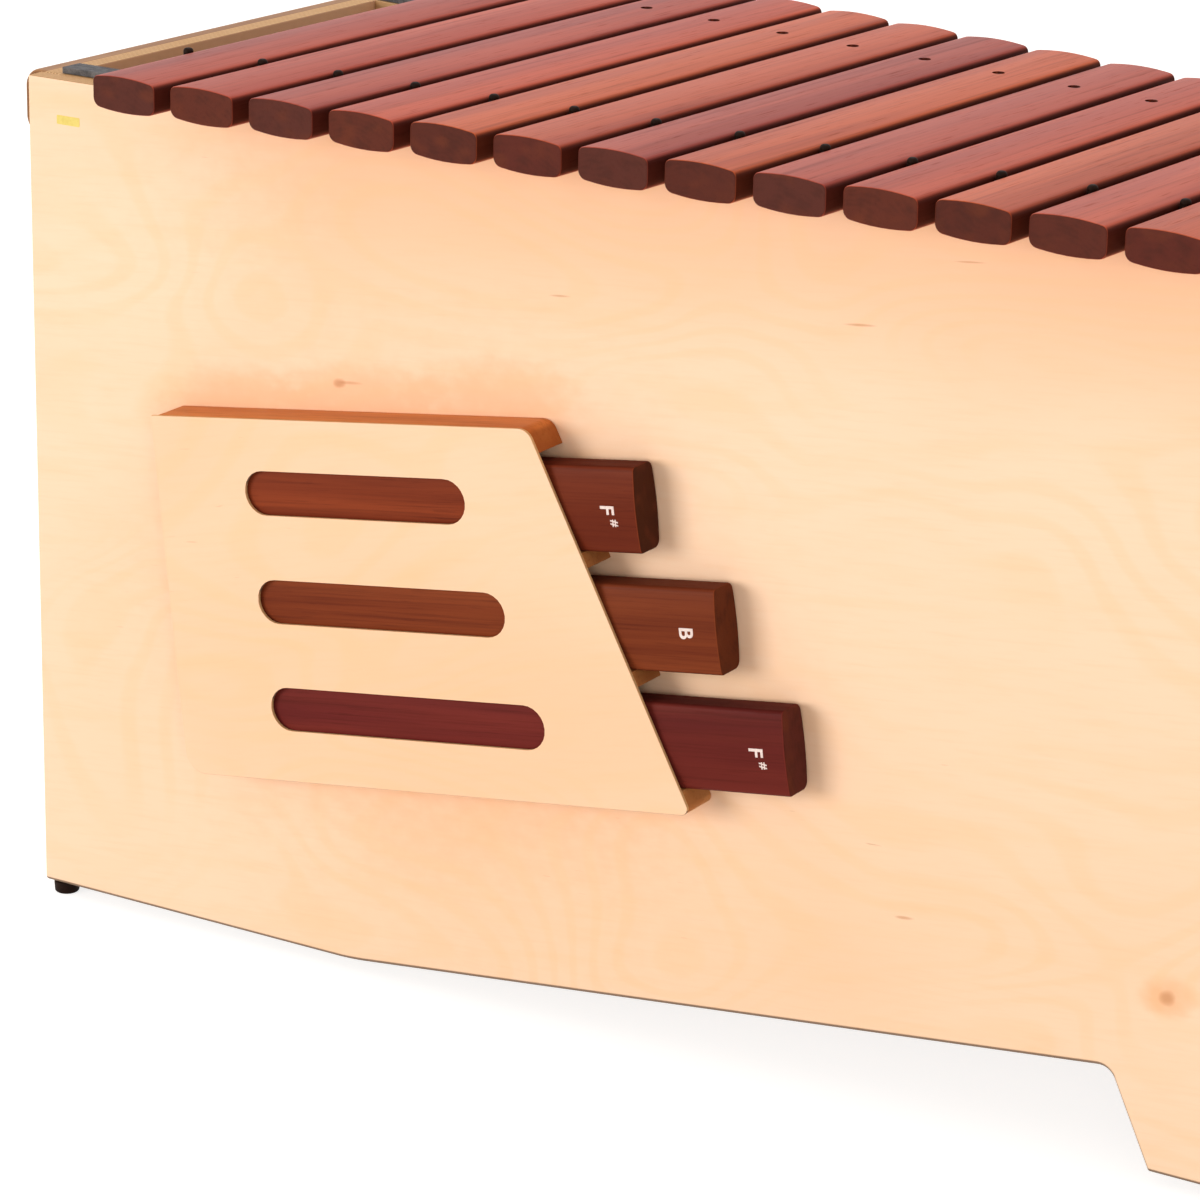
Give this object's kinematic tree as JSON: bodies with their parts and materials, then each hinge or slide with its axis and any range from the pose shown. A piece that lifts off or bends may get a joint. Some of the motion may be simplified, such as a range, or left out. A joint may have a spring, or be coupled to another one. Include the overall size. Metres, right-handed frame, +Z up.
{
  "type": "bass xylophone",
  "caption": "Floor-standing xylophone: crowned hardwood bars on a tapering plywood resonator box, with a tilted holder for spare bars on the front and rubber feet.",
  "frame": {"origin": "on the floor, under the middle of the instrument's bounding box", "axes": "+X along the row of bars towards the treble, +Y away from the player, +Z up"},
  "size_m": [1.108, 0.55, 0.658],
  "materials": {
    "bar_wood": "satin oiled dark red-brown hardwood",
    "birch": "satin lacquered pale birch plywood",
    "inner_birch": "plain birch, inside the box",
    "edge_wood": "satin golden-brown beech battens",
    "rubber": "matt black",
    "felt": "dense grey felt"
  },
  "bodies": {
    "box": {"back_panel": "birch", "back_pin_rail": "inner_birch", "back_rest_strip": "felt", "bass_end_panel": "birch", "bass_grip": "edge_wood", "foot_back_bass": "rubber", "foot_back_treble": "rubber", "foot_front_bass": "rubber", "foot_front_treble": "rubber", "front_panel": "birch", "front_peg_rail": "inner_birch", "front_rest_strip": "felt", "holder_bottom_rail": "edge_wood", "holder_divider_lower": "edge_wood", "holder_divider_upper": "edge_wood", "holder_end_stop": "edge_wood", "holder_face": "birch", "holder_top_rail": "edge_wood", "partition_1": "inner_birch", "partition_2": "inner_birch", "partition_3": "inner_birch", "peg_01": "rubber", "peg_02": "rubber", "peg_03": "rubber", "peg_04": "rubber", "peg_05": "rubber", "peg_06": "rubber", "peg_07": "rubber", "peg_08": "rubber", "peg_09": "rubber", "peg_10": "rubber", "peg_11": "rubber", "peg_12": "rubber", "peg_13": "rubber", "peg_14": "rubber", "resonator_floor": "inner_birch", "treble_end_panel": "birch", "treble_grip": "edge_wood"},
    "tone_bar_01": {"tone_bar_01": "bar_wood"},
    "tone_bar_02": {"tone_bar_02": "bar_wood"},
    "tone_bar_03": {"tone_bar_03": "bar_wood"},
    "tone_bar_04": {"tone_bar_04": "bar_wood"},
    "tone_bar_05": {"tone_bar_05": "bar_wood"},
    "tone_bar_06": {"tone_bar_06": "bar_wood"},
    "tone_bar_07": {"tone_bar_07": "bar_wood"},
    "tone_bar_08": {"tone_bar_08": "bar_wood"},
    "tone_bar_09": {"tone_bar_09": "bar_wood"},
    "tone_bar_10": {"tone_bar_10": "bar_wood"},
    "tone_bar_11": {"tone_bar_11": "bar_wood"},
    "tone_bar_12": {"tone_bar_12": "bar_wood"},
    "tone_bar_13": {"tone_bar_13": "bar_wood"},
    "spare_bar_f_sharp_high": {"spare_bar_f_sharp_high": "bar_wood"},
    "spare_bar_b_flat": {"spare_bar_b_flat": "bar_wood"},
    "spare_bar_f_sharp_low": {"spare_bar_f_sharp_low": "bar_wood"}
  },
  "joints": [
    {"name": "lift_01", "type": "slide", "parent": "box", "child": "tone_bar_01", "axis": [0, 0, 1], "range_m": [0, 0.045]},
    {"name": "lift_02", "type": "slide", "parent": "box", "child": "tone_bar_02", "axis": [0, 0, 1], "range_m": [0, 0.045]},
    {"name": "lift_03", "type": "slide", "parent": "box", "child": "tone_bar_03", "axis": [0, 0, 1], "range_m": [0, 0.045]},
    {"name": "lift_04", "type": "slide", "parent": "box", "child": "tone_bar_04", "axis": [0, 0, 1], "range_m": [0, 0.045]},
    {"name": "lift_05", "type": "slide", "parent": "box", "child": "tone_bar_05", "axis": [0, 0, 1], "range_m": [0, 0.045]},
    {"name": "lift_06", "type": "slide", "parent": "box", "child": "tone_bar_06", "axis": [0, 0, 1], "range_m": [0, 0.045]},
    {"name": "lift_07", "type": "slide", "parent": "box", "child": "tone_bar_07", "axis": [0, 0, 1], "range_m": [0, 0.045]},
    {"name": "lift_08", "type": "slide", "parent": "box", "child": "tone_bar_08", "axis": [0, 0, 1], "range_m": [0, 0.045]},
    {"name": "lift_09", "type": "slide", "parent": "box", "child": "tone_bar_09", "axis": [0, 0, 1], "range_m": [0, 0.045]},
    {"name": "lift_10", "type": "slide", "parent": "box", "child": "tone_bar_10", "axis": [0, 0, 1], "range_m": [0, 0.045]},
    {"name": "lift_11", "type": "slide", "parent": "box", "child": "tone_bar_11", "axis": [0, 0, 1], "range_m": [0, 0.045]},
    {"name": "lift_12", "type": "slide", "parent": "box", "child": "tone_bar_12", "axis": [0, 0, 1], "range_m": [0, 0.045]},
    {"name": "lift_13", "type": "slide", "parent": "box", "child": "tone_bar_13", "axis": [0, 0, 1], "range_m": [0, 0.045]},
    {"name": "draw_out_f_sharp_high", "type": "slide", "parent": "box", "child": "spare_bar_f_sharp_high", "axis": [0.9877, 0.0768, 0.1361], "range_m": [0, 0.276]},
    {"name": "draw_out_b_flat", "type": "slide", "parent": "box", "child": "spare_bar_b_flat", "axis": [0.9877, 0.0768, 0.1361], "range_m": [0, 0.31]},
    {"name": "draw_out_f_sharp_low", "type": "slide", "parent": "box", "child": "spare_bar_f_sharp_low", "axis": [0.9877, 0.0768, 0.1361], "range_m": [0, 0.344]}
  ]
}
